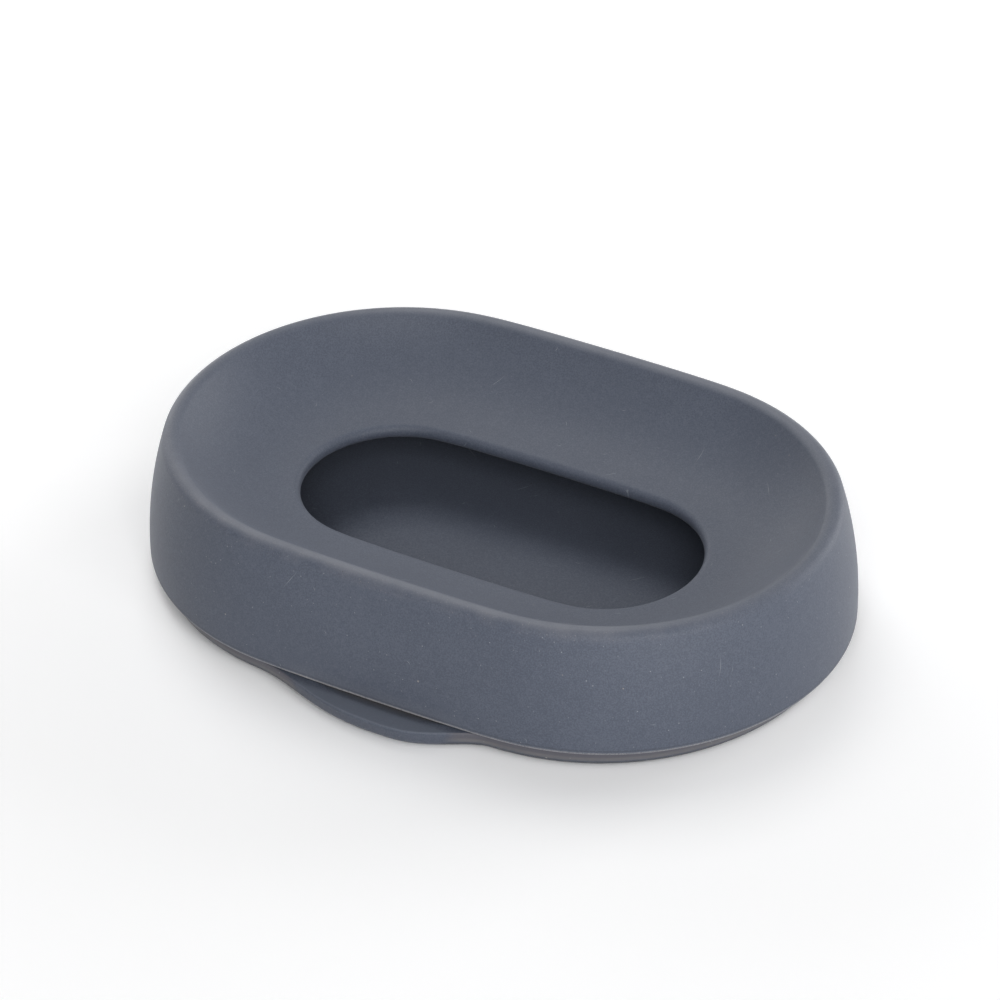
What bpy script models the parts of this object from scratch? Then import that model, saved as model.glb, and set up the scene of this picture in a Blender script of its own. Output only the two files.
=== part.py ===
"""Draining soap dish in two stacked silicone mouldings.

The dish is one closed section carried round an oval outline: convex wall, rounded rim, concave bowl, drain opening and
a hollow underside. The drip tray below it seats the wall's bottom edge on its rim, centres it with a low rib, and opens
at the front into a pouring spout. Sizes are in metres, +Z is up, the spout points to -Y, and the origin is the middle
of the tray's flat underside.
"""

import math

import bmesh
import bpy
import numpy as np

# Plan outline, measured at the bottom edge of the dish's wall
LENGTH = 0.140
WIDTH = 0.0973
END_FLATTENING = 0.0011
CORNER_SOFTNESS = 0.028

# Dish section, with heights counted from the bottom edge of its wall
RIM_HEIGHT = 0.0248
DISH_WALL = 0.0030
WALL_BOW_RADIUS = 0.0745
BELLY_HEIGHT = 0.0020
RIM_RADIUS = 0.0022
RIM_TURN = math.radians(52)
DRAIN_INSET = 0.02905
DRAIN_LIP_HEIGHT = 0.0127
UNDER_RIM_FILLET = 0.0015
EDGE_RADIUS = 0.0005

# Drip tray, with heights counted from the counter and insets from the plan outline
TRAY_HEIGHT = 0.00395
TRAY_INSET = 0.0011
TRAY_END_INSET = 0.0010
TRAY_EDGE_RADIUS = 0.0004
FOOT_INSET = 0.00315
FOOT_RADIUS = 0.0008
FLOOR_FRONT = 0.0014
FLOOR_BACK = 0.0020
RIB_HEIGHT = 0.0026
RIB_WIDTH = 0.0016
RIB_FILLET = 0.0015

# Pouring spout in the tray's front side: a bulge with a long left flank and a short right one
SPOUT_REACH = 0.0062
SPOUT_FOOT_REACH = 0.0060
SPOUT_CREST = 0.0040
SPOUT_LEFT_FLANK = 0.0310
SPOUT_RIGHT_FLANK = 0.0200
SPOUT_SHOULDER = 2.5
SPOUT_FLARE = 2.3
CHANNEL_CENTRE = 0.0018
CHANNEL_HALF_WIDTH = 0.0160
CHANNEL_BLEND = 0.0035
CHANNEL_LIP_SHARE = 0.26
RIB_END_SLOPE = 0.0030

# Clearances between the two pieces
SEAT_GAP = 0.0003
RIB_CLEARANCE = 0.0004

# Smoothness of the meshes
DISH_STATIONS = 84
TRAY_STATIONS = 112
SPOUT_CROWDING = 1.9
OUTLINE_SAMPLES = 6001
WALL_STEPS = 5
RIM_STEPS = 7
BOWL_STEPS = 7
LIP_STEPS = 6
UNDERSIDE_STEPS = 4
FILLET_STEPS = 3
EDGE_STEPS = 3
RIB_STEPS = 4
SHARP_ANGLE = math.radians(40)

SLATE = (0.110, 0.124, 0.152, 1.0)
SILICONE_ROUGHNESS = 0.6


def clear_scene():
    for item in list(bpy.data.objects):
        bpy.data.objects.remove(item)


def silicone(name):
    material = bpy.data.materials.new(name)
    material.use_nodes = True
    shader = material.node_tree.nodes["Principled BSDF"]
    shader.inputs["Base Color"].default_value = SLATE
    shader.inputs["Roughness"].default_value = SILICONE_ROUGHNESS
    shader.inputs["Metallic"].default_value = 0.0
    return material


def outline(angle, inset):
    """Plan points whose outward normal points at angle, moved inwards by inset.

    The outline is a straight side joined to round ends. Its reach along each normal is half the straight side times the
    normal's cosine, softened where side and end meet, plus half the width, less a slight flattening of the ends.
    """
    cosine = np.cos(angle)
    sine = np.sin(angle)
    softened = np.sqrt(cosine**2 + CORNER_SOFTNESS**2)
    straight = (LENGTH - WIDTH) / 2 + END_FLATTENING
    straight /= math.hypot(1, CORNER_SOFTNESS) - CORNER_SOFTNESS
    reach = straight * (softened - CORNER_SOFTNESS) + WIDTH / 2 - END_FLATTENING * cosine**2 - inset
    turning = cosine * sine * (2 * END_FLATTENING - straight / softened)
    return reach * cosine - turning * sine, reach * sine + turning * cosine


def stations(count, crowding=0.0):
    """Normal angles at even steps along the outline, closer together by crowding where the spout is."""
    angle = np.linspace(0, 2 * math.pi, OUTLINE_SAMPLES)
    x, y = outline(angle, 0.0)
    step = np.hypot(np.diff(x), np.diff(y))
    near_spout = (y[1:] < 0) * (np.abs(x[1:] - CHANNEL_CENTRE) < SPOUT_LEFT_FLANK)
    travelled = np.concatenate([[0], np.cumsum(step * (1 + crowding * near_spout))])
    return np.interp(np.linspace(0, travelled[-1], count, endpoint=False), travelled, angle)


def arc(centre, radius, start, end, steps):
    """Points on a circle from one angle to another, both ends included."""
    angles = np.linspace(start, end, steps + 1)
    return [(centre[0] + radius * math.cos(a), centre[1] + radius * math.sin(a)) for a in angles]


def meeting_point(centre_a, radius_a, centre_b, radius_b):
    """The lower of the two points where two circles cross."""
    dx = centre_b[0] - centre_a[0]
    dy = centre_b[1] - centre_a[1]
    gap = math.hypot(dx, dy)
    along = (radius_a**2 - radius_b**2 + gap**2) / (2 * gap)
    across = math.sqrt(radius_a**2 - along**2)
    foot = (centre_a[0] + along * dx / gap, centre_a[1] + along * dy / gap)
    choices = [(foot[0] - side * across * dy / gap, foot[1] + side * across * dx / gap) for side in (1, -1)]
    return min(choices, key=lambda point: point[1])


def dish_section():
    """The dish's closed section as (inset, height) points.

    It runs up the outer wall, over the rim, down the bowl, round the drain lip, back under the bowl and down the inside
    of the wall. Each stretch is an arc that meets the next one smoothly.
    """
    # Outer wall and rim
    wall = (math.sqrt(WALL_BOW_RADIUS**2 - BELLY_HEIGHT**2), BELLY_HEIGHT)
    rim_swing = WALL_BOW_RADIUS - RIM_RADIUS
    lean = math.asin((RIM_HEIGHT - RIM_RADIUS - BELLY_HEIGHT) / rim_swing)
    rim = (wall[0] - rim_swing * math.cos(lean), wall[1] + rim_swing * math.sin(lean))
    foot_angle = math.pi + math.asin((BELLY_HEIGHT - EDGE_RADIUS) / WALL_BOW_RADIUS)
    foot_x = wall[0] + WALL_BOW_RADIUS * math.cos(foot_angle)
    edge = (foot_x + EDGE_RADIUS, EDGE_RADIUS)
    points = arc(edge, EDGE_RADIUS, 1.5 * math.pi, math.pi, EDGE_STEPS)
    points += arc(wall, WALL_BOW_RADIUS, foot_angle, math.pi - lean, WALL_STEPS)[1:]
    points += arc(rim, RIM_RADIUS, math.pi - lean, math.pi / 2 - RIM_TURN, RIM_STEPS)[1:]

    # Bowl, drain lip and the bowl's underside
    lip_radius = DISH_WALL / 2
    lip = (DRAIN_INSET - lip_radius, DRAIN_LIP_HEIGHT - lip_radius)
    normal = (math.sin(RIM_TURN), math.cos(RIM_TURN))
    away = (points[-1][0] - lip[0], points[-1][1] - lip[1])
    bowl_radius = (away[0] ** 2 + away[1] ** 2 - lip_radius**2) / 2
    bowl_radius /= lip_radius - away[0] * normal[0] - away[1] * normal[1]
    bowl = (points[-1][0] + bowl_radius * normal[0], points[-1][1] + bowl_radius * normal[1])
    lip_angle = math.atan2(bowl[1] - lip[1], bowl[0] - lip[0])
    points += arc(bowl, bowl_radius, 1.5 * math.pi - RIM_TURN, math.pi + lip_angle, BOWL_STEPS)[1:]
    points += arc(lip, lip_radius, lip_angle, lip_angle - math.pi, LIP_STEPS)[1:]

    # Fillet under the rim, inner wall and its bottom edge
    fillet = meeting_point(
        wall,
        WALL_BOW_RADIUS - DISH_WALL - UNDER_RIM_FILLET,
        bowl,
        bowl_radius + DISH_WALL + UNDER_RIM_FILLET,
    )
    to_bowl = math.atan2(bowl[1] - fillet[1], bowl[0] - fillet[0])
    to_wall = math.atan2(fillet[1] - wall[1], fillet[0] - wall[0])
    points += arc(bowl, bowl_radius + DISH_WALL, math.pi + lip_angle, math.pi + to_bowl, UNDERSIDE_STEPS)[1:]
    points += arc(fillet, UNDER_RIM_FILLET, to_bowl, to_wall, FILLET_STEPS)[1:]
    points += arc(wall, WALL_BOW_RADIUS - DISH_WALL, to_wall, foot_angle, WALL_STEPS // 2)[1:]
    inner_edge = (points[-1][0] - EDGE_RADIUS, EDGE_RADIUS)
    points += arc(inner_edge, EDGE_RADIUS, 0, -math.pi / 2, EDGE_STEPS - 1)[1:]
    return points


def smooth_ramp(share):
    """A ramp from 0 to 1 that starts and ends level."""
    share = np.clip(share, 0, 1)
    return share * share * (3 - 2 * share)


def spout_bulge(x, y):
    """How far the tray's side bulges into the spout, from 0 along the plain side to 1 at the spout's crest."""
    flank = np.where(x < SPOUT_CREST, SPOUT_LEFT_FLANK, SPOUT_RIGHT_FLANK)
    across = np.clip(np.abs(x - SPOUT_CREST) / flank, 0, 1)
    return np.where(y < 0, (1 - across**SPOUT_SHOULDER) ** SPOUT_FLARE, 0.0)


def channel_opening(x, y):
    """How open the rim is: 0 where the seat and the rib are whole, 1 across the spout's channel."""
    across = np.abs(x - CHANNEL_CENTRE)
    ramp = smooth_ramp((CHANNEL_HALF_WIDTH + CHANNEL_BLEND - across) / (2 * CHANNEL_BLEND))
    return np.where(y < 0, ramp, 0.0)


def rib_fade(x, y):
    """How much of the rib's height stands: 1 along the plain rim, falling to 0 before the channel begins."""
    beyond = np.abs(x - CHANNEL_CENTRE) - CHANNEL_HALF_WIDTH - CHANNEL_BLEND
    return np.where(y < 0, smooth_ramp(beyond / RIB_END_SLOPE), 1.0)


def floor_height(y):
    """The tray's floor is a plane that falls from the back of the tray to its front."""
    return (FLOOR_BACK + FLOOR_FRONT) / 2 + (FLOOR_BACK - FLOOR_FRONT) * y / WIDTH


def hull_rows(edge, foot):
    """Insets and heights up the tray's outside: rounded foot, leaning side and rounded top edge.

    The side is a straight line from its foot's corner up to its top edge's corner, and lean is its angle from upright.
    """
    lean = np.arctan2(foot - edge, TRAY_HEIGHT)
    foot_centre = foot + FOOT_RADIUS * np.tan((math.pi / 2 - lean) / 2)
    edge_centre = edge + TRAY_EDGE_RADIUS * np.tan((math.pi / 2 + lean) / 2)
    rows = []
    for share in np.linspace(0, 1, EDGE_STEPS + 1):
        turn = (math.pi / 2 - lean) * share
        rows.append((foot_centre - FOOT_RADIUS * np.sin(turn), FOOT_RADIUS * (1 - np.cos(turn))))
    for share in np.linspace(0, 1, EDGE_STEPS + 1):
        turn = (math.pi / 2 + lean) * share - lean
        height = TRAY_HEIGHT - TRAY_EDGE_RADIUS * (1 - np.sin(turn))
        rows.append((edge_centre - TRAY_EDGE_RADIUS * np.cos(turn), height))
    return rows


def rib_section():
    """(inset, height) pairs over the locating rib, from the seat to the top of its inner face."""
    outer = DISH_WALL + RIB_CLEARANCE
    half = RIB_WIDTH / 2
    crown = arc((outer + half, TRAY_HEIGHT + RIB_HEIGHT - half), half, math.pi, 0, RIB_STEPS)
    return [(outer, TRAY_HEIGHT)] + crown


def fillet_section():
    """(inset, rise above the floor) pairs down the fillet between the rib's inner face and the floor."""
    inner = DISH_WALL + RIB_CLEARANCE + RIB_WIDTH
    turns = np.linspace(0, math.pi / 2, FILLET_STEPS + 1)
    return [(inner + RIB_FILLET * (1 - math.cos(turn)), RIB_FILLET * (1 - math.sin(turn))) for turn in turns]


def tray_rings(angle):
    """The tray's rings as arrays of x, y and z, from the foot round the rim to the edge of the floor.

    Inside the top edge each ring is a blend of two sections: the plain rim with its seat and rib, and the spout, whose
    channel is level for its lip's share of the way in and then falls to the floor.
    """
    x, y = outline(angle, 0.0)
    bulge = spout_bulge(x, y)
    opening = channel_opening(x, y)
    standing = rib_fade(x, y)
    ends = TRAY_END_INSET * np.cos(angle) ** 2
    rows = hull_rows(TRAY_INSET + ends - SPOUT_REACH * bulge, FOOT_INSET + ends - SPOUT_FOOT_REACH * bulge)

    lip = rows[-1][0]
    rib = rib_section()
    fillet = fillet_section()
    count = len(rib) + len(fillet)
    for place, (inset, height) in enumerate(rib + fillet):
        share = (place + 1) / count
        channel = lip + (fillet[-1][0] - lip) * share
        blended = inset + (channel - inset) * opening
        level = floor_height(outline(angle, blended)[1])
        if place < len(rib):
            plain = TRAY_HEIGHT + (height - TRAY_HEIGHT) * standing
        else:
            plain = level + height
        fall = smooth_ramp((1 - share) / (1 - CHANNEL_LIP_SHARE))
        channel_height = level + (TRAY_HEIGHT - level) * fall
        rows.append((blended, plain + (channel_height - plain) * opening))

    rings = []
    for inset, height in rows:
        ring_x, ring_y = outline(angle, inset)
        rings.append(np.column_stack([ring_x, ring_y, height]))
    return rings


def dish_rings(angle):
    """The dish's rings, one for each point of its section."""
    rings = []
    for inset, height in dish_section():
        x, y = outline(angle, inset)
        rings.append(np.column_stack([x, y, np.full(len(angle), height)]))
    return rings


def skin(name, rings, closed):
    """A mesh over a stack of rings. A closed stack joins its last ring to its first; an open one gets two end faces."""
    mesh = bpy.data.meshes.new(name)
    shape = bmesh.new()
    loops = [[shape.verts.new(point) for point in ring] for ring in rings]
    pairs = list(zip(loops, loops[1:]))
    if closed:
        pairs.append((loops[-1], loops[0]))
    else:
        shape.faces.new(loops[0])
        shape.faces.new(loops[-1])
    for lower, upper in pairs:
        for near in range(len(lower)):
            far = (near + 1) % len(lower)
            shape.faces.new((lower[near], lower[far], upper[far], upper[near]))
    bmesh.ops.recalc_face_normals(shape, faces=shape.faces)
    shape.to_mesh(mesh)
    shape.free()
    mesh.shade_smooth()
    mesh.set_sharp_from_angle(angle=SHARP_ANGLE)
    return mesh


def add_piece(name, mesh, material, parent, height=0.0):
    piece = bpy.data.objects.new(name, mesh)
    mesh.materials.append(material)
    piece.location.z = height
    piece.parent = parent
    bpy.context.scene.collection.objects.link(piece)
    return piece


def build():
    clear_scene()
    base = bpy.data.objects.new("soap_dish", None)
    bpy.context.scene.collection.objects.link(base)

    tray_mesh = skin("drip_tray", tray_rings(stations(TRAY_STATIONS, SPOUT_CROWDING)), closed=False)
    add_piece("drip_tray", tray_mesh, silicone("tray_silicone"), base)

    dish_mesh = skin("dish", dish_rings(stations(DISH_STATIONS)), closed=True)
    add_piece("dish", dish_mesh, silicone("dish_silicone"), base, TRAY_HEIGHT + SEAT_GAP)


build()
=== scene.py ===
"""Draining soap dish: an oval silicone dish that stands loose on its drip tray, on a pale studio floor.

Sizes are in metres, +Z is up, the pouring spout points to -Y and the origin is the middle of the tray's
underside.
"""

import math

import bpy
import numpy as np
from mathutils import Matrix, Vector


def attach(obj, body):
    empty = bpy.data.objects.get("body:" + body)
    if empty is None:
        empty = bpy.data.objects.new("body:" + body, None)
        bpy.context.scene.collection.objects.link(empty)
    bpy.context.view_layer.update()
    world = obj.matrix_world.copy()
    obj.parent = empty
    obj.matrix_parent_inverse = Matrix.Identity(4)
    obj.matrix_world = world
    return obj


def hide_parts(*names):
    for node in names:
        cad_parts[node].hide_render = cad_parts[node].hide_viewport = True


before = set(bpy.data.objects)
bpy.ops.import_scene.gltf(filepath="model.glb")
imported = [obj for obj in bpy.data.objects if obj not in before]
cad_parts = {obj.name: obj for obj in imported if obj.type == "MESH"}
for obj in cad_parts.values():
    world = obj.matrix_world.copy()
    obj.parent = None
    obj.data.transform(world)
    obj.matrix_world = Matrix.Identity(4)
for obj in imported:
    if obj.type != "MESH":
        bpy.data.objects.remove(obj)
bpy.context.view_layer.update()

# The dish. The upper moulding is one piece of matte slate-grey silicone, pressed between two mould halves: a
# bowed wall, a rounded rim and a hollow-backed bowl that falls to the drain opening. It stands loose on the
# tray's seat, centred by the tray's rib, and lifts straight off.

# Plan outline and section
LENGTH = 0.140
WIDTH = 0.0973
END_FLATTENING = 0.0011
CORNER_SOFTNESS = 0.028
DISH_FOOT_HEIGHT = 0.00425
RIM_HEIGHT = 0.0248
DISH_WALL = 0.0030
WALL_BOW_RADIUS = 0.0745
BELLY_HEIGHT = 0.0020
RIM_RADIUS = 0.0022
RIM_TURN = math.radians(52)
DRAIN_INSET = 0.02905
DRAIN_LIP_HEIGHT = 0.0127
UNDER_RIM_FILLET = 0.0015
EDGE_RADIUS = 0.0005
OUTER_EDGE_RADIUS = 0.0008

# Stations round the outline, and steps along each arc of the section
DISH_STATIONS = 400
OUTLINE_SAMPLES = 6001
OUTER_EDGE_STEPS = 12
WALL_STEPS = 30
RIM_STEPS = 24
BOWL_STEPS = 34
DRAIN_LIP_STEPS = 18
UNDER_BOWL_STEPS = 18
UNDER_RIM_STEPS = 8
INNER_WALL_STEPS = 10
INNER_EDGE_STEPS = 6
SHARP_ANGLE = math.radians(40)

# Silicone: its two tones, the sizes of its clouds, fog, orange peel and pits, its gloss and its relief
SLATE_DEEP = (0.065, 0.076, 0.105, 1.0)
SLATE_PALE = (0.095, 0.109, 0.144, 1.0)
CLOUD_SIZE = 0.022
FOG_SIZE = 0.0040
PEEL_SIZE = 0.0011
PIT_SIZE = 0.00028
REFRACTION = 1.41
SHEEN = 0.05
SHEEN_ROUGHNESS = 0.5
RELIEF_STRENGTH = 0.35
RELIEF_DEPTH = 0.00004

# Specks: the distance between places, the largest radius, and the share of the places that carry a speck
DUST_SPECKS = (0.0012, 0.00015, 0.8)
CRUMB_SPECKS = (0.0050, 0.00027, 0.8)
GRIT_SPECKS = (0.0050, 0.00022, 0.7)
SCUFF_SPECKS = (0.00048, 0.00012, 0.7)
GRIT_SHIFT = (0.5, 0.5, 0.5)
SCUFF_SHIFT = (0.2, 0.7, 0.4)
SMALLEST_SPECK = 0.35
SPECK_CRISPNESS = 2.5
SPECK_WOBBLE = 0.0001

# Strokes: the distance between places, length, thickness, bend, and the share of the places that carry one
LINT_STROKES = (0.0090, 0.0017, 0.00008, 700.0, 0.42)
SCRATCH_STROKES = (0.0160, 0.0060, 0.00007, 12.0, 0.32)

# Colours of the marks, of the painted highlights and sheen, and of the painted shade, and how strongly the
# loose ones show
# Painted light: the pale grey of the painted highlight on the rim's crest and of the painted light above the
# spout
PAINTED_LIGHT_GREY = (0.190, 0.200, 0.230, 1.0)
# Painted highlight of the floor's light along a bottom edge
EDGE_HIGHLIGHT_GREY = (0.290, 0.285, 0.295, 1.0)
# A paler painted highlight for the bottom edge over the spout
EDGE_HIGHLIGHT_PALE = (0.520, 0.500, 0.495, 1.0)
# Painted sheen on the rim's outer shoulder
SHOULDER_SHEEN_GREY = (0.185, 0.178, 0.192, 1.0)
# Painted shade, for a crease, the tray's foot and the spout's side
PAINTED_SHADE = (0.028, 0.033, 0.045, 1.0)
DUST = (0.46, 0.48, 0.50, 1.0)
CRUMB = (0.52, 0.47, 0.42, 1.0)
GRIT = (0.035, 0.031, 0.030, 1.0)
LINT = (0.30, 0.32, 0.35, 1.0)
SCUFF_STRENGTH = 0.36
DUST_STRENGTH = 0.40
CRUMB_STRENGTH = 0.42
GRIT_STRENGTH = 0.80
LINT_STRENGTH = 0.45
SCRATCH_STRENGTH = 0.50

# Where each mark begins and where it is whole, as the normal's upward part, a place along an axis or a height
DRY_SLOPE = (0.62, 0.35)
EDGE_HIGHLIGHT_SLOPE = (0.95, 0.6)
MIDDLE = (0.064, 0.040)
OUTSIDE = (0.0, 0.012)
CREST_BELOW = 0.00015
CREST_ABOVE = 0.00005
SHOULDER_DEPTH = 0.0016
DISH_SHIFT = (0.31, 0.17, 0.05)
# Heights over which the rim's crest gets its painted highlight
DISH_CREST_HIGHLIGHT = (0.0282, 0.0290)
# Heights over which the wall's bottom edge gets its painted highlight
DISH_EDGE_HIGHLIGHT = (0.00515, 0.00480)
# Heights of the painted shade in a crease just over the wall's bottom edge
CREASE_FROM = (0.00510, 0.00525)
CREASE_TO = (0.00560, 0.00540)
CREASE_SHADE_STRENGTH = 0.28
# Painted light over the spout: where it lies, the heights of the painted light on the wall, and how strongly
# it and the paler edge highlight show
OVER_SPOUT_SIDEWAYS = (0.0215, 0.0130)
OVER_SPOUT_FORWARDS = (0.0460, 0.0480)
LIT_OVER_SPOUT = (0.0085, 0.0045)
LIT_OVER_SPOUT_STRENGTH = 0.28
PALE_EDGE_HIGHLIGHT_STRENGTH = 0.9


def oval(angle, inset):
    """Plan points of the oval whose outward normal points at angle, moved inwards by inset.

    The reach along each normal is half the straight side times the normal's cosine, softened where the side
    runs into the round end, plus half the width, less a slight flattening of the ends. The point is the reach
    along the normal plus the reach's slope along the tangent.
    """
    cosine = np.cos(angle)
    sine = np.sin(angle)
    softened = np.sqrt(cosine**2 + CORNER_SOFTNESS**2)
    straight = (LENGTH - WIDTH) / 2 + END_FLATTENING
    straight /= math.hypot(1, CORNER_SOFTNESS) - CORNER_SOFTNESS
    reach = straight * (softened - CORNER_SOFTNESS) + WIDTH / 2 - END_FLATTENING * cosine**2 - inset
    turning = cosine * sine * (2 * END_FLATTENING - straight / softened)
    return reach * cosine - turning * sine, reach * sine + turning * cosine


def even_normals(count, crowding=lambda x, y: 0.0):
    """Normal angles at even steps of the oval's length, each step weighed by one plus the crowding there."""
    angle = np.linspace(0, 2 * math.pi, OUTLINE_SAMPLES)
    x, y = oval(angle, 0.0)
    steps = np.hypot(np.diff(x), np.diff(y)) * (1 + crowding(x[1:], y[1:]))
    travelled = np.concatenate([[0], np.cumsum(steps)])
    return np.interp(np.linspace(0, travelled[-1], count, endpoint=False), travelled, angle)


def arc(centre, radius, start, end, steps):
    """Points on a circle: the centre plus the radius turned from one angle to the other, ends included."""
    turn = np.linspace(start, end, steps + 1)
    return np.column_stack([centre[0] + radius * np.cos(turn), centre[1] + radius * np.sin(turn)])


def lower_crossing(centre_a, radius_a, centre_b, radius_b):
    """The lower of the two points where two circles cross, from the foot of their common chord."""
    apart = np.subtract(centre_b, centre_a)
    gap = math.hypot(*apart)
    along = (radius_a**2 - radius_b**2 + gap**2) / (2 * gap)
    across = math.sqrt(radius_a**2 - along**2)
    foot = np.array(centre_a) + along * apart / gap
    swing = across * np.array([-apart[1], apart[0]]) / gap
    return min(foot + swing, foot - swing, key=lambda point: point[1])


def dish_section():
    """The dish's closed section as rows of inset and height above its foot.

    Tangent arcs follow each other up the bowed wall, over the rim, down the bowl, round the drain lip, back
    under the bowl, through a fillet and down the inside of the wall. Each arc's centre is found from the one
    it has to meet.
    """
    wall = (math.sqrt(WALL_BOW_RADIUS**2 - BELLY_HEIGHT**2), BELLY_HEIGHT)
    rim_swing = WALL_BOW_RADIUS - RIM_RADIUS
    lean = math.asin((RIM_HEIGHT - RIM_RADIUS - BELLY_HEIGHT) / rim_swing)
    rim = (wall[0] - rim_swing * math.cos(lean), wall[1] + rim_swing * math.sin(lean))
    foot_angle = math.pi + math.asin((BELLY_HEIGHT - OUTER_EDGE_RADIUS) / WALL_BOW_RADIUS)
    edge = (wall[0] + WALL_BOW_RADIUS * math.cos(foot_angle) + OUTER_EDGE_RADIUS, OUTER_EDGE_RADIUS)

    crest = arc(rim, RIM_RADIUS, math.pi - lean, math.pi / 2 - RIM_TURN, RIM_STEPS)
    lip_radius = DISH_WALL / 2
    lip = (DRAIN_INSET - lip_radius, DRAIN_LIP_HEIGHT - lip_radius)
    normal = np.array([math.sin(RIM_TURN), math.cos(RIM_TURN)])
    away = crest[-1] - lip
    bowl_radius = (away @ away - lip_radius**2) / 2 / (lip_radius - away @ normal)
    bowl = crest[-1] + bowl_radius * normal
    lip_angle = math.atan2(bowl[1] - lip[1], bowl[0] - lip[0])

    inner_bow = WALL_BOW_RADIUS - DISH_WALL
    under_bowl = bowl_radius + DISH_WALL
    fillet = lower_crossing(wall, inner_bow - UNDER_RIM_FILLET, bowl, under_bowl + UNDER_RIM_FILLET)
    to_bowl = math.atan2(bowl[1] - fillet[1], bowl[0] - fillet[0])
    to_wall = math.atan2(fillet[1] - wall[1], fillet[0] - wall[0])
    inner_angle = math.pi + math.asin((BELLY_HEIGHT - EDGE_RADIUS) / inner_bow)
    inner_edge = (wall[0] + inner_bow * math.cos(inner_angle) - EDGE_RADIUS, EDGE_RADIUS)

    stretches = [
        arc(edge, OUTER_EDGE_RADIUS, 1.5 * math.pi, math.pi, OUTER_EDGE_STEPS),
        arc(wall, WALL_BOW_RADIUS, foot_angle, math.pi - lean, WALL_STEPS)[1:],
        crest[1:],
        arc(bowl, bowl_radius, 1.5 * math.pi - RIM_TURN, math.pi + lip_angle, BOWL_STEPS)[1:],
        arc(lip, lip_radius, lip_angle, lip_angle - math.pi, DRAIN_LIP_STEPS)[1:],
        arc(bowl, under_bowl, math.pi + lip_angle, math.pi + to_bowl, UNDER_BOWL_STEPS)[1:],
        arc(fillet, UNDER_RIM_FILLET, to_bowl, to_wall, UNDER_RIM_STEPS)[1:],
        arc(wall, inner_bow, to_wall, inner_angle, INNER_WALL_STEPS)[1:],
        arc(inner_edge, EDGE_RADIUS, 0, -math.pi / 2, INNER_EDGE_STEPS)[1:],
    ]
    return np.concatenate(stretches)


def moulding(name, grid, closed):
    """A piece over a grid of points, one row for each ring round the oval.

    Each quad joins neighbouring stations of neighbouring rings. A closed grid joins its last ring to its
    first; an open one ends in a fan of triangles round the middle of its first and of its last ring.
    """
    rows, stations = grid.shape[:2]
    points = grid.reshape(-1, 3)
    index = np.arange(rows * stations).reshape(rows, stations)
    lower = index if closed else index[:-1]
    upper = np.roll(index, -1, axis=0) if closed else index[1:]
    quads = np.stack([lower, np.roll(lower, -1, axis=1), np.roll(upper, -1, axis=1), upper], axis=-1)
    faces = quads.reshape(-1, 4).tolist()
    if not closed:
        points = np.concatenate([points, grid[[0, -1]].mean(axis=1)])
        first_middle = np.full(stations, len(points) - 2)
        last_middle = np.full(stations, len(points) - 1)
        first = np.stack([np.roll(index[0], -1), index[0], first_middle], axis=-1)
        last = np.stack([index[-1], np.roll(index[-1], -1), last_middle], axis=-1)
        faces += first.tolist() + last.tolist()
    mesh = bpy.data.meshes.new(name)
    mesh.from_pydata(points.tolist(), [], faces)
    mesh.shade_smooth()
    mesh.set_sharp_from_angle(angle=SHARP_ANGLE)
    piece = bpy.data.objects.new(name, mesh)
    bpy.context.scene.collection.objects.link(piece)
    return piece


def dish_grid():
    """The dish's section carried round the oval: each ring is the oval at its row's inset and height."""
    section = dish_section()
    x, y = oval(even_normals(DISH_STATIONS), section[:, :1])
    return np.stack([x, y, np.broadcast_to(section[:, 1:] + DISH_FOOT_HEIGHT, x.shape)], axis=-1)


class Value:
    """One socket of a material. An expression on values adds the Math nodes that work it out."""

    def __init__(self, socket):
        self.socket = socket

    def node(self, kind, settings, inputs, output=0):
        """Adds a node with its settings, fills its inputs with numbers or links, and returns one output."""
        tree = self.socket.id_data
        node = tree.nodes.new(kind)
        for name, setting in settings.items():
            setattr(node, name, setting)
        for name, value in inputs.items():
            if isinstance(value, Value):
                tree.links.new(value.socket, node.inputs[name])
            else:
                node.inputs[name].default_value = value
        return Value(node.outputs[output])

    def output(self, name):
        """Another output of the same node."""
        return Value(self.socket.node.outputs[name])

    def math(self, operation, *others):
        return self.node("ShaderNodeMath", {"operation": operation}, dict(enumerate((self, *others))))

    def vector(self, operation, other=(0.0, 0.0, 0.0), output=0):
        return self.node("ShaderNodeVectorMath", {"operation": operation}, {0: self, 1: other}, output)

    def dot(self, other):
        return self.vector("DOT_PRODUCT", other, output="Value")

    def ramp(self, start, end):
        """0 at start and 1 at end, with level ends."""
        settings = {"interpolation_type": "SMOOTHSTEP"}
        return self.node("ShaderNodeMapRange", settings, {"Value": self, "From Min": start, "From Max": end})

    def between(self, low, high):
        """1 between the pair where it comes in and the pair where it goes out, and 0 outside them."""
        return self.ramp(*low) * self.ramp(*high)

    def clamp(self):
        """The same value, kept from 0 to 1."""
        return self.node("ShaderNodeClamp", {}, {"Value": self})

    def mix(self, low, high):
        """The colour low where this value is 0, and the colour high where it is 1."""
        return self.node("ShaderNodeMix", {"data_type": "RGBA"}, {0: self, 6: low, 7: high}, output=2)

    def __add__(self, other):
        return self.math("ADD", other)

    def __sub__(self, other):
        return self.math("SUBTRACT", other)

    def __rsub__(self, other):
        return self.math("MULTIPLY_ADD", -1.0, other)

    def __mul__(self, other):
        return self.math("MULTIPLY", other)

    def __abs__(self):
        return self.math("ABSOLUTE")

    __radd__ = __add__
    __rmul__ = __mul__


def grain(place, size, detail):
    """A smooth random field round 0 with features of the given size, and as many finer layers as detail."""
    noise = place.node("ShaderNodeTexNoise", {}, {"Vector": place, "Scale": 1 / size, "Detail": detail})
    return noise - 0.5


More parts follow.
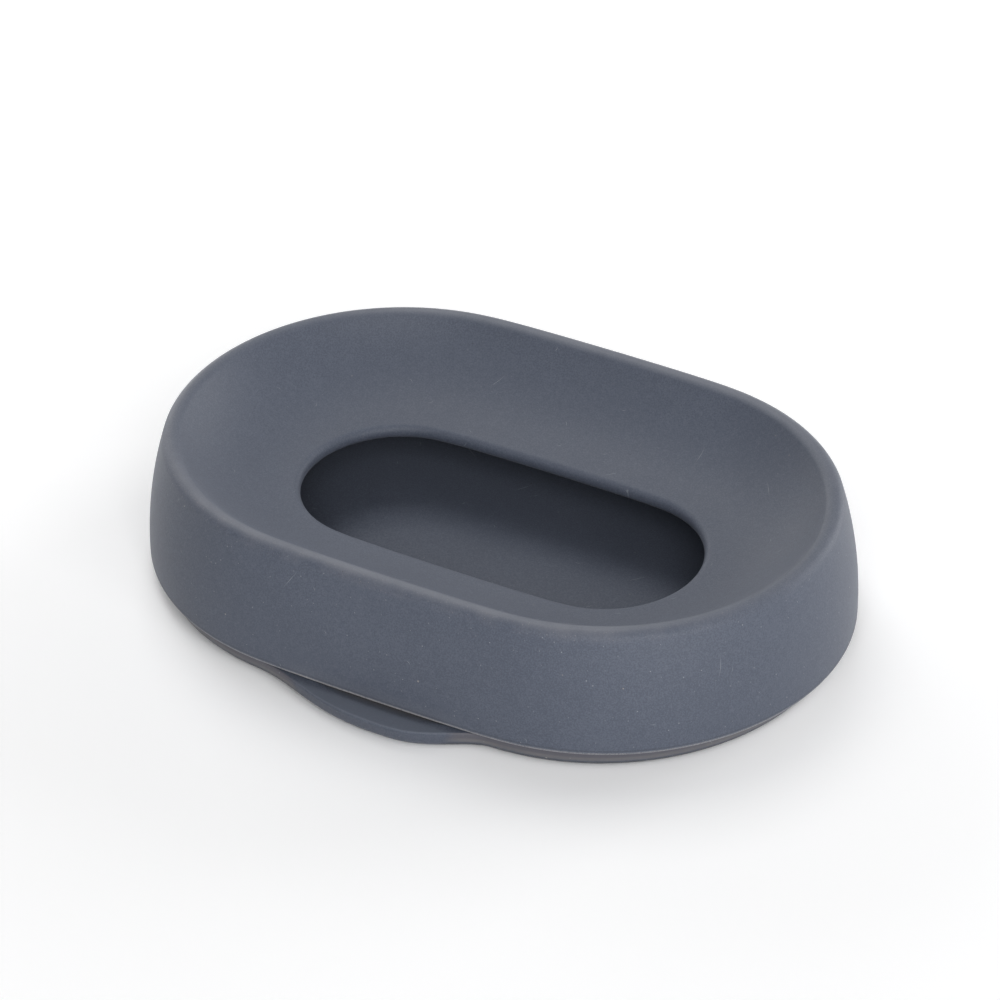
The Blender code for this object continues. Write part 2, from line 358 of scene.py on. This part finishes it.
def flecks(place, spacing, radius, share):
    """1 inside small round specks and 0 outside: the distance to the nearest of points spacing apart.

    Each point draws its own size, up to radius, and only a share of the points carry a speck.
    """
    cell = place.node("ShaderNodeTexVoronoi", {}, {"Vector": place, "Scale": 1 / spacing})
    draw = cell.output("Color").node("ShaderNodeSeparateXYZ", {}, {0: cell.output("Color")})
    size = (draw.output("X") * (1 - SMALLEST_SPECK) + SMALLEST_SPECK) * (radius / spacing)
    inside = (size - cell) * (SPECK_CRISPNESS * spacing / radius)
    return inside.clamp() * draw.output("Y").math("LESS_THAN", share)


def strokes(place, facing, spacing, length, thickness, bend, share):
    """1 along short fine lines that lie in the surface and 0 elsewhere.

    Round the nearest of points spacing apart, a tangent is drawn at random: the cross product of the
    surface's normal and the point's own random vector. A line runs along it, bowed by bend times the square
    of the distance along, and thins out towards its ends.
    """
    cell = place.node("ShaderNodeTexVoronoi", {}, {"Vector": place, "Scale": 1 / spacing})
    draw = cell.output("Color").vector("SUBTRACT", (0.5, 0.5, 0.5))
    local = place.vector("SUBTRACT", cell.output("Position"))
    tangent = facing.vector("CROSS_PRODUCT", draw).vector("NORMALIZE")
    along = local.dot(tangent)
    across = local.dot(facing.vector("CROSS_PRODUCT", tangent))
    depth = abs(local.dot(facing))
    taper = 1 - abs(along) * (2 / length)
    line = abs(across + along * along * bend)
    inside = (taper * thickness - line) * (2 / thickness)
    kept = draw.dot((1.0, 0.0, 0.0)).math("LESS_THAN", share - 0.5)
    near = depth.math("LESS_THAN", spacing / 3)
    return inside.clamp() * kept * near


def silicone(name, shift, crest_highlight_heights, edge_highlight_heights, own_painted_light):
    """Matte moulded silicone: cloudy slate, a fine spark-eroded grain, dust, lint, scratches, scuff specks,
    painted highlights and a painted sheen.

    shift moves the patterns, so that two pieces don't carry the same ones. The next pair of heights is where
    the rim's crest goes from plain to a painted highlight, and the pair after it is where a painted highlight
    of the floor's light along a bottom edge comes in. The last argument adds a piece's own painted light and
    shade: it takes the colour so far and the fields that say where a point is, and returns the new colour.
    """
    material = bpy.data.materials.new(name)
    material.use_nodes = True
    tree = material.node_tree
    shader = tree.nodes["Principled BSDF"]
    coordinates = Value(tree.nodes.new("ShaderNodeTexCoord").outputs["Object"])
    place = coordinates.node("ShaderNodeMapping", {}, {"Vector": coordinates, "Location": shift})
    facing = coordinates.output("Normal")

    # Where a point is, and random fields from broad to fine
    height = coordinates.dot((0.0, 0.0, 1.0))
    sideways = abs(coordinates.dot((1.0, 0.0, 0.0)))
    forwards = coordinates.dot((0.0, -1.0, 0.0))
    upwards = facing.dot((0.0, 0.0, 1.0))
    middle = sideways.ramp(*MIDDLE)
    outside = facing.dot(coordinates.vector("MULTIPLY", (1.0, 1.0, 0.0))).ramp(*OUTSIDE)
    cloud = grain(place, CLOUD_SIZE, 3.0)
    fog = grain(place, FOG_SIZE, 3.0)
    peel = grain(place, PEEL_SIZE, 1.0)
    pits = grain(place, PIT_SIZE, 2.0)

    # Loose dirt, which stays away from the bowl's wet slope, scuff specks, and the places of the painted
    # highlights and sheen
    to_wobble = {0: pits, 1: (SPECK_WOBBLE,) * 3, 2: place}
    wobbly = place.node("ShaderNodeVectorMath", {"operation": "MULTIPLY_ADD"}, to_wobble)
    dry = upwards.ramp(*DRY_SLOPE) * 0.75 + 0.25
    dust = flecks(wobbly, *DUST_SPECKS) * dry
    crumbs = flecks(wobbly, *CRUMB_SPECKS) * dry
    grit = flecks(wobbly.vector("ADD", GRIT_SHIFT), *GRIT_SPECKS)
    lint = strokes(wobbly, facing, *LINT_STROKES)
    scratches = strokes(place, facing, *SCRATCH_STROKES)
    # A painted highlight along the rim's crest, strongest along the middles of the long sides
    crest = height.ramp(crest_highlight_heights[1] - CREST_BELOW, crest_highlight_heights[1] + CREST_ABOVE)
    crest_highlight = (height.ramp(*crest_highlight_heights) + crest * 0.3) * (middle * 0.8 + 0.2) * (fog * 0.3 + cloud * 0.5 + 0.36)
    shoulder = height.ramp(crest_highlight_heights[0] - SHOULDER_DEPTH, crest_highlight_heights[0]) * (middle * 0.7 + 0.3) * outside
    # A painted sheen on the rim's outer shoulder, below the crest
    shoulder_sheen = shoulder * (cloud * 0.6 + fog * 0.4 + 0.07)
    scuffs = flecks(wobbly.vector("ADD", SCUFF_SHIFT), *SCUFF_SPECKS) * shoulder * (cloud * 1.5 + 0.6)
    # A painted highlight of the floor's light along an edge that does not face up
    trim = height.ramp(*edge_highlight_heights) * upwards.ramp(*EDGE_HIGHLIGHT_SLOPE) * (pits * 1.5 + fog * 0.5 + 0.55)

    # Colour
    tone = cloud * 0.60 + fog * 0.40 + pits * 3.00 + peel * 0.55 + 0.37
    colour = tone.mix(SLATE_DEEP, SLATE_PALE)
    # Painted highlight on the crest, painted highlight along the bottom edge and painted sheen on the
    # shoulder
    colour = crest_highlight.mix(colour, PAINTED_LIGHT_GREY)
    colour = trim.mix(colour, EDGE_HIGHLIGHT_GREY)
    colour = shoulder_sheen.mix(colour, SHOULDER_SHEEN_GREY)
    at = {
        "height": height,
        "sideways": sideways,
        "forwards": forwards,
        "upwards": upwards,
        "fog": fog,
        "trim": trim,
    }
    # Each piece's own painted light and shade
    colour = own_painted_light(colour, at)
    colour = (scuffs * SCUFF_STRENGTH).mix(colour, CRUMB)
    colour = (dust * DUST_STRENGTH).mix(colour, DUST)
    colour = (crumbs * CRUMB_STRENGTH).mix(colour, CRUMB)
    colour = (grit * GRIT_STRENGTH).mix(colour, GRIT)
    colour = (lint * LINT_STRENGTH).mix(colour, LINT)
    colour = (scratches * SCRATCH_STRENGTH).mix(colour, LINT)
    tree.links.new(colour.socket, shader.inputs["Base Color"])

    # Gloss and relief
    roughness = 0.55 + fog * 0.10 + cloud * 0.08 + dust * 0.25 - crest_highlight * 0.06 - scratches * 0.10
    tree.links.new(roughness.socket, shader.inputs["Roughness"])
    relief = pits * 0.6 + peel * 0.5 + dust * 1.2 + crumbs * 2.0 + lint * 0.8 - scratches * 0.9
    to_bump = {"Height": relief, "Strength": RELIEF_STRENGTH, "Distance": RELIEF_DEPTH}
    tree.links.new(relief.node("ShaderNodeBump", {}, to_bump).socket, shader.inputs["Normal"])
    shader.inputs["IOR"].default_value = REFRACTION
    shader.inputs["Sheen Weight"].default_value = SHEEN
    shader.inputs["Sheen Roughness"].default_value = SHEEN_ROUGHNESS
    return material


def wall_foot(colour, at):
    """Painted light and shade at the foot of the dish's wall.

    A painted shade line lies just over the bottom edge's painted highlight, and above the spout the edge and
    the wall are painted paler, as painted light.
    """
    # A painted shade line in a crease just over the bottom edge
    crease_shade = at["height"].between(CREASE_FROM, CREASE_TO)
    over_spout = at["sideways"].ramp(*OVER_SPOUT_SIDEWAYS) * at["forwards"].ramp(*OVER_SPOUT_FORWARDS)
    # Painted light on the wall's foot above the spout, where the render lacks the floor's bounce
    lit_over_spout = over_spout * at["height"].ramp(*LIT_OVER_SPOUT)
    colour = (lit_over_spout * LIT_OVER_SPOUT_STRENGTH).mix(colour, PAINTED_LIGHT_GREY)
    colour = (crease_shade * CREASE_SHADE_STRENGTH).mix(colour, PAINTED_SHADE)
    return (at["trim"] * over_spout * PALE_EDGE_HIGHLIGHT_STRENGTH).mix(colour, EDGE_HIGHLIGHT_PALE)


dish = moulding("moulded_dish", dish_grid(), closed=True)
dish.data.materials.append(
    silicone("dish_matte_silicone", DISH_SHIFT, DISH_CREST_HIGHLIGHT, DISH_EDGE_HIGHLIGHT, wall_foot)
)
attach(dish, "dish")
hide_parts("dish")

# The drip tray. The lower moulding is the same silicone, a little smaller in plan: a rounded side, a flat
# seat under the dish's wall, a low rib that centres it, and a floor that falls to a channel at the front,
# where the side bulges out into the pouring spout. Its flat underside grips the counter.

# Side, seat and rib
TRAY_HEIGHT = 0.00395
TRAY_INSET = 0.0011
TRAY_END_INSET = 0.0010
TRAY_EDGE_RADIUS = 0.0004
FOOT_INSET = 0.00203
FOOT_RADIUS = 0.0028
FLOOR_FRONT = 0.0014
FLOOR_BACK = 0.0020
RIB_HEIGHT = 0.0026
RIB_WIDTH = 0.0016
RIB_FILLET = 0.0015
RIB_CLEARANCE = 0.0004
RIB_END_SLOPE = 0.0030

# Spout and channel
SPOUT_REACH = 0.0062
SPOUT_FOOT_REACH = 0.0062
SPOUT_CREST = 0.0040
SPOUT_LEFT_FLANK = 0.0310
SPOUT_RIGHT_FLANK = 0.0200
SPOUT_SHOULDER = 2.5
SPOUT_FLARE = 2.3
CHANNEL_CENTRE = 0.0018
CHANNEL_HALF_WIDTH = 0.0160
CHANNEL_BLEND = 0.0035
CHANNEL_LIP_SHARE = 0.26

# Stations round the outline, steps along each stretch of the rings, and shares of the way in
TRAY_STATIONS = 480
SPOUT_CROWDING = 1.9
FOOT_STEPS = 16
TRAY_EDGE_STEPS = 8
TRAY_SIDE_STEPS = 5
SEAT_STEPS = 6
RIB_SIDE_STEPS = 4
CROWN_STEPS = 16
FILLET_ROWS = 12
FLOOR_RINGS = 15
INNERMOST_RING = 0.04
SEAT_SHARE = 0.1
CROWN_SHARE = (0.2, 0.6)
FILLET_SHARE = 0.7

# Its marks, painted highlights and painted shade: colours, where each begins and is whole, and how strongly
# it shows
TRAY_SHIFT = (0.83, 0.59, 0.37)
# Heights for a painted highlight on a crest; they lie above the tray's top
TRAY_CREST_HIGHLIGHT = (0.0058, 0.0068)
# Heights over which the tray's top edge gets its painted highlight
TRAY_EDGE_HIGHLIGHT = (0.0036, 0.0048)
# Painted light from the white floor on the tray's plain side
FLOOR_BOUNCE_GREY = (0.150, 0.144, 0.146, 1.0)
# Painted shade under the dish's overhanging wall
UNDER_WALL_SHADE_GREY = (0.097, 0.092, 0.106, 1.0)
# Painted highlight on the spout's level lip
LIP_HIGHLIGHT_GREY = (0.158, 0.178, 0.220, 1.0)
SPOUT_FORWARDS = (0.0488, 0.0502)
SIDE_SLOPE = (0.98, 0.90)
UNDER_WALL_SHADE_FROM = (0.0021, 0.0026)
UNDER_WALL_SHADE_TO = (0.0045, 0.0040)
FLOOR_BOUNCE_FROM = (0.0014, 0.0020)
FLOOR_BOUNCE_TO = (0.0030, 0.0023)
# Painted shade: a contact shadow line at the foot of the plain side
FOOT_SHADE_LINE = (0.0020, 0.0012)
# Painted shade on the spout's side
SPOUT_SHADE = (0.0043, 0.0037)
LIP_SLOPE = (0.60, 0.95)
LIP_HEIGHT = (0.0034, 0.0038)
UNDER_WALL_SHADE_STRENGTH = 0.80
FLOOR_BOUNCE_STRENGTH = 0.80
FOOT_SHADE_LINE_STRENGTH = 0.8
SPOUT_SHADE_STRENGTH = 0.12
LIP_HIGHLIGHT_STRENGTH = 0.62


def level_ramp(share):
    """A ramp from 0 to 1 that starts and ends level: three squares less two cubes."""
    share = np.clip(share, 0, 1)
    return share * share * (3 - 2 * share)


def spout_bulge(x, y):
    """From 0 along the plain side to 1 at the spout's crest: a power of one less a power of the distance."""
    flank = np.where(x < SPOUT_CREST, SPOUT_LEFT_FLANK, SPOUT_RIGHT_FLANK)
    across = np.clip(np.abs(x - SPOUT_CREST) / flank, 0, 1)
    return np.where(y < 0, (1 - across**SPOUT_SHOULDER) ** SPOUT_FLARE, 0.0)


def spout_crowding(x, y):
    """Extra crowding of the stations over the spout's whole length, and none elsewhere."""
    return SPOUT_CROWDING * (y < 0) * (np.abs(x - CHANNEL_CENTRE) < SPOUT_LEFT_FLANK)


def floor_level(y):
    """The tray's floor is a plane that falls from the back of the tray to its front."""
    return (FLOOR_BACK + FLOOR_FRONT) / 2 + (FLOOR_BACK - FLOOR_FRONT) * y / WIDTH


def tray_side(edge, foot):
    """Insets and heights up the tray's outside: a well rounded foot, a leaning side and a rounded top edge.

    The side runs from its foot's corner up to its top edge's corner; lean is its angle from upright, and each
    rounding is an arc tangent to the side and to the level it meets.
    """
    lean = np.arctan2(foot - edge, TRAY_HEIGHT)
    foot_centre = foot + FOOT_RADIUS * np.tan((math.pi / 2 - lean) / 2)
    edge_centre = edge + TRAY_EDGE_RADIUS * np.tan((math.pi / 2 + lean) / 2)
    turn = (math.pi / 2 - lean) * np.linspace(0, 1, FOOT_STEPS + 1)[:, None]
    foot_rows = np.stack([foot_centre - FOOT_RADIUS * np.sin(turn), FOOT_RADIUS * (1 - np.cos(turn))])
    turn = (math.pi / 2 + lean) * np.linspace(0, 1, TRAY_EDGE_STEPS + 1)[:, None] - lean
    edge_height = TRAY_HEIGHT - TRAY_EDGE_RADIUS * (1 - np.sin(turn))
    edge_rows = np.stack([edge_centre - TRAY_EDGE_RADIUS * np.cos(turn), edge_height])
    share = np.linspace(0, 1, TRAY_SIDE_STEPS + 1)[1:-1, None]
    side_rows = foot_rows[:, -1:] * (1 - share) + edge_rows[:, :1] * share
    return np.concatenate([foot_rows, side_rows, edge_rows], axis=1)


def tray_top(angle, lip, opening, standing):
    """Insets and heights from the top edge in to the floor: a blend of the plain rim and the channel.

    share counts the way in, from 0 at the edge to 1 at the floor. The plain rim is the level seat up to
    SEAT_SHARE, the rib's outer side, its round crown between the two CROWN_SHARES, its inner side and a
    fillet from FILLET_SHARE down. The channel goes evenly in from the lip, stays level as far as
    CHANNEL_LIP_SHARE and falls along a level ramp to the floor. opening is the channel's share of the blend,
    and standing the share of the rib's height that stands.
    """
    outer = DISH_WALL + RIB_CLEARANCE
    half = RIB_WIDTH / 2
    crown = arc((outer + half, RIB_HEIGHT - half), half, math.pi, 0, CROWN_STEPS)
    crown_share = np.linspace(*CROWN_SHARE, CROWN_STEPS + 1)
    turn = np.linspace(0, math.pi / 2, FILLET_ROWS)
    fillet_share = np.linspace(FILLET_SHARE, 1, FILLET_ROWS)
    fillet_inset = outer + RIB_WIDTH + RIB_FILLET * (1 - np.cos(turn))

    seat_share = np.linspace(0, SEAT_SHARE, SEAT_STEPS + 1)[1:]
    outer_share = np.linspace(SEAT_SHARE, CROWN_SHARE[0], RIB_SIDE_STEPS + 1)[1:-1]
    inner_share = np.linspace(CROWN_SHARE[1], FILLET_SHARE, RIB_SIDE_STEPS + 1)[1:-1]
    share = np.concatenate([seat_share, outer_share, crown_share, inner_share, fillet_share])[:, None]

    up_to_crown = np.concatenate([[SEAT_SHARE], crown_share])
    known = np.concatenate([up_to_crown, fillet_share])
    plain_inset = np.interp(share, known, np.concatenate([[outer], crown[:, 0], fillet_inset]))
    plain_inset = plain_inset + (lip - outer) * np.clip(1 - share / SEAT_SHARE, 0, 1)
    inset = plain_inset + (lip + (fillet_inset[-1] - lip) * share - plain_inset) * opening
    level = floor_level(oval(angle, inset)[1])

    rib_rise = np.interp(share, up_to_crown, np.concatenate([[0.0], crown[:, 1]]))
    fillet_rise = np.interp(share, fillet_share, RIB_FILLET * (1 - np.sin(turn)))
    drop = np.clip((share - CROWN_SHARE[1]) / (FILLET_SHARE - CROWN_SHARE[1]), 0, 1)
    plain = (TRAY_HEIGHT + rib_rise * standing) * (1 - drop) + (level + fillet_rise) * drop
    channel = level + (TRAY_HEIGHT - level) * level_ramp((1 - share) / (1 - CHANNEL_LIP_SHARE))
    return np.stack([inset, plain + (channel - plain) * opening])


def tray_grid():
    """The tray's rings: across the underside, up the side, over the rim or channel, and in across the floor.

    Each ring of the side and the top is the oval at its own inset for every station. The rings of the
    underside and the floor are the nearest ring drawn in towards the middle.
    """
    angle = even_normals(TRAY_STATIONS, spout_crowding)
    x, y = oval(angle, 0.0)
    front = y < 0
    bulge = spout_bulge(x, y)
    across = np.abs(x - CHANNEL_CENTRE) - CHANNEL_HALF_WIDTH
    opening = level_ramp((CHANNEL_BLEND - across) / (2 * CHANNEL_BLEND)) * front
    standing = np.where(front, level_ramp((across - CHANNEL_BLEND) / RIB_END_SLOPE), 1.0)
    ends = TRAY_END_INSET * np.cos(angle) ** 2
    side = tray_side(TRAY_INSET + ends - SPOUT_REACH * bulge, FOOT_INSET + ends - SPOUT_FOOT_REACH * bulge)
    inset, height = np.concatenate([side, tray_top(angle, side[0, -1], opening, standing)], axis=1)
    body = np.stack([*oval(angle, inset), height], axis=-1)

    outwards = np.linspace(INNERMOST_RING, 1, FLOOR_RINGS + 1)[:-1, None, None]
    underside = body[0] * outwards
    floor = body[-1] * outwards[::-1]
    floor[:, :, 2] = floor_level(floor[:, :, 1])
    return np.concatenate([underside, body, floor])


def tray_painted_light(colour, at):
    """The tray's painted light and shade, where it stands under the dish.

    On the plain side a band of painted floor light lies below painted shade under the dish's wall, and a
    painted shade line lies at the foot. The spout's side has faint painted shade, its level lip a painted
    highlight.
    """
    height = at["height"]
    spout = at["forwards"].ramp(*SPOUT_FORWARDS)
    plain_side = abs(at["upwards"]).ramp(*SIDE_SLOPE) * (1 - spout)
    # Painted shade on the plain side, under the dish's overhanging wall
    under_wall_shade = height.between(UNDER_WALL_SHADE_FROM, UNDER_WALL_SHADE_TO) * plain_side
    # A band of painted light from the white floor on the plain side
    floor_bounce_light = height.between(FLOOR_BOUNCE_FROM, FLOOR_BOUNCE_TO) * plain_side * (at["fog"] * 1.2 + 0.75)
    # A painted highlight on the spout's level lip
    lip = at["upwards"].ramp(*LIP_SLOPE) * height.ramp(*LIP_HEIGHT) * spout
    # A painted contact shadow line at the foot of the plain side
    foot_shade_line = height.ramp(*FOOT_SHADE_LINE) * plain_side * FOOT_SHADE_LINE_STRENGTH
    # Faint painted shade on the spout's side
    spout_shade = height.ramp(*SPOUT_SHADE) * spout * SPOUT_SHADE_STRENGTH
    colour = (under_wall_shade * UNDER_WALL_SHADE_STRENGTH).mix(colour, UNDER_WALL_SHADE_GREY)
    colour = (floor_bounce_light * FLOOR_BOUNCE_STRENGTH).mix(colour, FLOOR_BOUNCE_GREY)
    colour = (lip * LIP_HIGHLIGHT_STRENGTH).mix(colour, LIP_HIGHLIGHT_GREY)
    return (foot_shade_line + spout_shade).mix(colour, PAINTED_SHADE)


tray = moulding("moulded_tray", tray_grid(), closed=False)
tray.data.materials.append(
    silicone("tray_matte_silicone", TRAY_SHIFT, TRAY_CREST_HIGHLIGHT, TRAY_EDGE_HIGHLIGHT, tray_painted_light)
)
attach(tray, "tray")
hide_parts("drip_tray")

# The studio. A seamless pale floor runs to the horizon. One soft lamp hangs high behind the dish and one in
# front, and three low ones stand off its right end and behind its two ends, in a faint even surround that
# fills the shadows.

# Floor, with the fade of its lift where it is covered on its open side and its fade to white further out
FLOOR_SIZE = 8.0
FLOOR_PALE = (0.93, 0.93, 0.935, 1.0)
FLOOR_ROUGHNESS = 0.7
FLOOR_SHINE = 0.2
FLOOR_LIFT = (0.16, 0.16, 0.16, 1.0)
BLACK = (0.0, 0.0, 0.0, 1.0)
WHITE = (1.0, 1.0, 1.0, 1.0)
CONTACT_REACH = 0.0036
CONTACT_OPENNESS = (0.50, 0.80)
CONTACT_SAMPLES = 8
OPEN_SIDE = (0.58, -0.34, 0.74)
FADE_CENTRE = (0.04, -0.08, 0.0)
FADE_TO_WHITE = (0.05, 0.55)

# Surround and soft lamps. A lamp has its turn round from +X and its rise, in degrees, and its share of the
# plain level at which a colour turned towards it renders as it is written.
SURROUND_STRENGTH = 0.14
LAMP_DISTANCE = 1.3
LAMP_SIZE = 0.7
SOFTBOXES = {
    "top_softbox": (135, 60, 0.31),
    "front_softbox": (-60, 35, 0.45),
    "right_softbox": (-30, 15, 0.40),
    "back_right_softbox": (60, 15, 0.41),
    "back_left_softbox": (150, 15, 0.23),
}


def seen_rays(tree):
    """1 for what the camera, reflections and clear materials see, and 0 for what only lights the dish."""
    rays = tree.nodes.new("ShaderNodeLightPath").outputs
    return Value(rays["Is Camera Ray"]) + Value(rays["Is Glossy Ray"]) + Value(rays["Is Transmission Ray"])


def sweep_floor():
    """A level square of one face in matte white paint.

    It looks a little lighter than it is lit, except where something stands close by on its open side, to the
    front and right, and it fades to plain white away from the dish's front.
    """
    half = FLOOR_SIZE / 2
    corners = [(-half, -half, 0.0), (half, -half, 0.0), (half, half, 0.0), (-half, half, 0.0)]
    mesh = bpy.data.meshes.new("studio_floor")
    mesh.from_pydata(corners, [], [(0, 1, 2, 3)])
    floor = bpy.data.objects.new("studio_floor", mesh)
    bpy.context.scene.collection.objects.link(floor)

    material = bpy.data.materials.new("floor_matte_paint")
    material.use_nodes = True
    tree = material.node_tree
    shader = tree.nodes["Principled BSDF"]
    shader.inputs["Base Color"].default_value = FLOOR_PALE
    shader.inputs["Roughness"].default_value = FLOOR_ROUGHNESS
    shader.inputs["Specular IOR Level"].default_value = FLOOR_SHINE
    shader.inputs["Emission Strength"].default_value = 1.0
    seen = seen_rays(tree)
    open_side = seen.node("ShaderNodeCombineXYZ", {}, dict(enumerate(OPEN_SIDE)))
    around = {"Distance": CONTACT_REACH, "Normal": open_side}
    openness = seen.node("ShaderNodeAmbientOcclusion", {"samples": CONTACT_SAMPLES}, around, output="AO")
    place = Value(tree.nodes.new("ShaderNodeTexCoord").outputs["Object"])
    distance = place.vector("DISTANCE", FADE_CENTRE, output="Value")
    glow = (seen * openness.ramp(*CONTACT_OPENNESS)).mix(BLACK, FLOOR_LIFT)
    glow = (seen * distance.ramp(*FADE_TO_WHITE)).mix(glow, WHITE)
    tree.links.new(glow.socket, shader.inputs["Emission Color"])
    mesh.materials.append(material)
    return floor


def softbox(name, turn, rise, share):
    """A square soft lamp that faces the dish, along the direction that its turn and its rise give."""
    turn = math.radians(turn)
    rise = math.radians(rise)
    direction = Vector((math.cos(rise) * math.cos(turn), math.cos(rise) * math.sin(turn), math.sin(rise)))
    lamp = bpy.data.lights.new(name, "AREA")
    lamp.size = LAMP_SIZE
    lamp.energy = share * (math.pi * LAMP_DISTANCE) ** 2
    holder = bpy.data.objects.new(name, lamp)
    holder.location = direction * LAMP_DISTANCE
    holder.rotation_euler = direction.to_track_quat("Z", "Y").to_euler()
    holder.visible_camera = False
    bpy.context.scene.collection.objects.link(holder)


def surround():
    """Even light from all sides, which the camera, reflections and clear materials see as plain white."""
    world = bpy.data.worlds.new("studio_surround")
    world.use_nodes = True
    tree = world.node_tree
    light = tree.nodes["Background"]
    light.inputs["Color"].default_value = WHITE
    light.inputs["Strength"].default_value = SURROUND_STRENGTH
    seen = seen_rays(tree)
    white = seen.node("ShaderNodeBackground", {}, {"Color": WHITE, "Strength": 1.0})
    mixed = seen.node("ShaderNodeMixShader", {}, {0: seen, 1: Value(light.outputs[0]), 2: white})
    tree.links.new(mixed.socket, tree.nodes["World Output"].inputs["Surface"])
    bpy.context.scene.world = world


sweep_floor()
for lamp_name, (lamp_turn, lamp_rise, lamp_share) in SOFTBOXES.items():
    softbox(lamp_name, lamp_turn, lamp_rise, lamp_share)
surround()
bpy.context.scene.view_settings.view_transform = "Standard"

# The camera stands where the photograph was taken from: in front, to the right and 34 degrees up, with a
# long lens that fills the frame with the dish.

CAMERA_TURN = math.radians(29.357)
CAMERA_RISE = math.radians(34.304)
CAMERA_ROLL = math.radians(-0.163)
CAMERA_DISTANCE = 0.9467
CAMERA_TARGET = Vector((-0.01116, 0.01962, 0.00475))
CAMERA_LENS = 175.23
SENSOR = 36.0

back = Vector((
    math.sin(CAMERA_TURN) * math.cos(CAMERA_RISE),
    -math.cos(CAMERA_TURN) * math.cos(CAMERA_RISE),
    math.sin(CAMERA_RISE),
))
level_right = Vector((math.cos(CAMERA_TURN), math.sin(CAMERA_TURN), 0.0))
level_up = back.cross(level_right)
right = level_right * math.cos(CAMERA_ROLL) + level_up * math.sin(CAMERA_ROLL)
up = level_up * math.cos(CAMERA_ROLL) - level_right * math.sin(CAMERA_ROLL)
camera = bpy.data.objects.new("studio_camera", bpy.data.cameras.new("studio_camera"))
camera.data.lens = CAMERA_LENS
camera.data.sensor_width = SENSOR
turned = Matrix((right, up, back)).transposed().to_4x4()
camera.matrix_world = Matrix.Translation(CAMERA_TARGET + back * CAMERA_DISTANCE) @ turned
bpy.context.scene.collection.objects.link(camera)
bpy.context.scene.camera = camera
